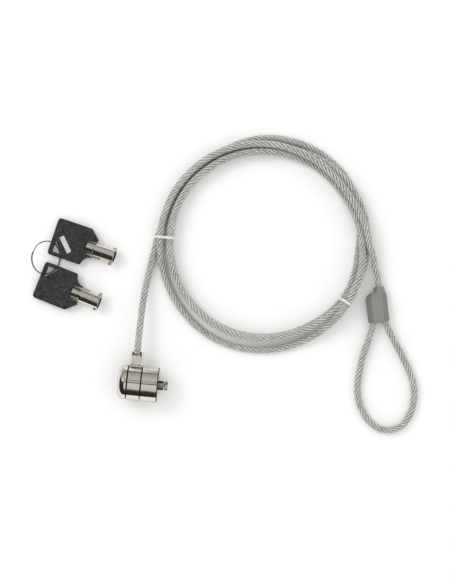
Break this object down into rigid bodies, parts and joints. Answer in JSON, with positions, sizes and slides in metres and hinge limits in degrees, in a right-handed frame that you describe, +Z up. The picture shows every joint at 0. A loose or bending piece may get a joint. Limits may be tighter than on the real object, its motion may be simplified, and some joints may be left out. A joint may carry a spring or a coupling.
{
  "type": "laptop cable lock",
  "caption": "Keyed security lock head with a T-bar nose on a swivelling collar, coated steel cable coil ending in a crimped loop, and tubular keys on a split ring.",
  "frame": {"origin": "On the resting surface, under the middle of the box round the lock head, the keys and their ring", "axes": "+X along the lock head's axis towards its nose, +Z up from the resting surface, +Y from the lock head along its cable boss"},
  "size_m": [0.2232, 0.159, 0.0194],
  "materials": {
    "nickel_lock_body": "bright nickel plate over zinc casting",
    "polished_steel_pins": "turned and polished steel",
    "steel_springs_and_drivers": "bright spring steel",
    "brass_tumblers": "turned brass",
    "coated_steel_rope": "galvanised wire rope under a clear glossy jacket",
    "aluminium_crimp": "pressed oval sleeve",
    "grey_vinyl_cover": "semi-gloss moulded vinyl",
    "clear_plastic_tie": "translucent plastic",
    "steel_split_ring": "polished spring steel wire",
    "black_key_plastic": "fine-grained moulded plastic",
    "nickel_key_metal": "bright nickel plate"
  },
  "bodies": {
    "cable": {"swivel_collar": "nickel_lock_body", "cable_end_ferrule": "polished_steel_pins", "cable_lead": "coated_steel_rope", "cable_coil": "coated_steel_rope", "cable_tail": "coated_steel_rope", "cable_loop": "coated_steel_rope", "crimp_sleeve": "aluminium_crimp", "crimp_cover": "grey_vinyl_cover", "tie_left": "clear_plastic_tie", "tie_right": "clear_plastic_tie"},
    "housing": {"front_housing": "nickel_lock_body", "rear_cap": "nickel_lock_body", "pin_block": "brass_tumblers", "driver_pin_1": "steel_springs_and_drivers", "driver_pin_2": "steel_springs_and_drivers", "driver_pin_3": "steel_springs_and_drivers", "driver_pin_4": "steel_springs_and_drivers", "driver_pin_5": "steel_springs_and_drivers", "driver_pin_6": "steel_springs_and_drivers", "driver_pin_7": "steel_springs_and_drivers", "pin_spring_1": "steel_springs_and_drivers", "pin_spring_2": "steel_springs_and_drivers", "pin_spring_3": "steel_springs_and_drivers", "pin_spring_4": "steel_springs_and_drivers", "pin_spring_5": "steel_springs_and_drivers", "pin_spring_6": "steel_springs_and_drivers", "pin_spring_7": "steel_springs_and_drivers", "block_cross_pin": "polished_steel_pins", "slot_pin_1": "polished_steel_pins", "slot_pin_2": "polished_steel_pins"},
    "plug": {"spindle": "polished_steel_pins", "key_pin_1": "brass_tumblers", "key_pin_2": "brass_tumblers", "key_pin_3": "brass_tumblers", "key_pin_4": "brass_tumblers", "key_pin_5": "brass_tumblers", "key_pin_6": "brass_tumblers", "key_pin_7": "brass_tumblers", "t_bar": "polished_steel_pins"},
    "key_ring": {"key_ring": "steel_split_ring"},
    "key_1": {"key_1_bow": "black_key_plastic", "key_1_barrel": "nickel_key_metal", "key_1_tang": "nickel_key_metal"},
    "key_2": {"key_2_bow": "black_key_plastic", "key_2_barrel": "nickel_key_metal", "key_2_tang": "nickel_key_metal"}
  },
  "joints": [
    {"name": "collar_swivel", "type": "hinge", "parent": "cable", "child": "housing", "pos_m": [0.0225, -0.03907, 0.0097], "axis": [1, 0, 0], "continuous": true},
    {"name": "t_bar_turn", "type": "hinge", "parent": "housing", "child": "plug", "pos_m": [0.0225, -0.03907, 0.0097], "axis": [1, 0, 0], "range_deg": [0, 90]},
    {"name": "ring_lift", "type": "slide", "parent": "cable", "child": "key_ring", "axis": [0, 0, 1], "range_m": [0, 0.1]},
    {"name": "key_1_swing", "type": "hinge", "parent": "key_ring", "child": "key_1", "pos_m": [-0.03376, 0.026, 0.00631], "axis": [0.6291, -0.0679, 0.7744], "range_deg": [0, 40]},
    {"name": "key_2_swing", "type": "hinge", "parent": "key_ring", "child": "key_2", "pos_m": [-0.03376, 0.026, 0.00631], "axis": [0.6291, -0.0679, 0.7744], "range_deg": [-40, 0]}
  ]
}
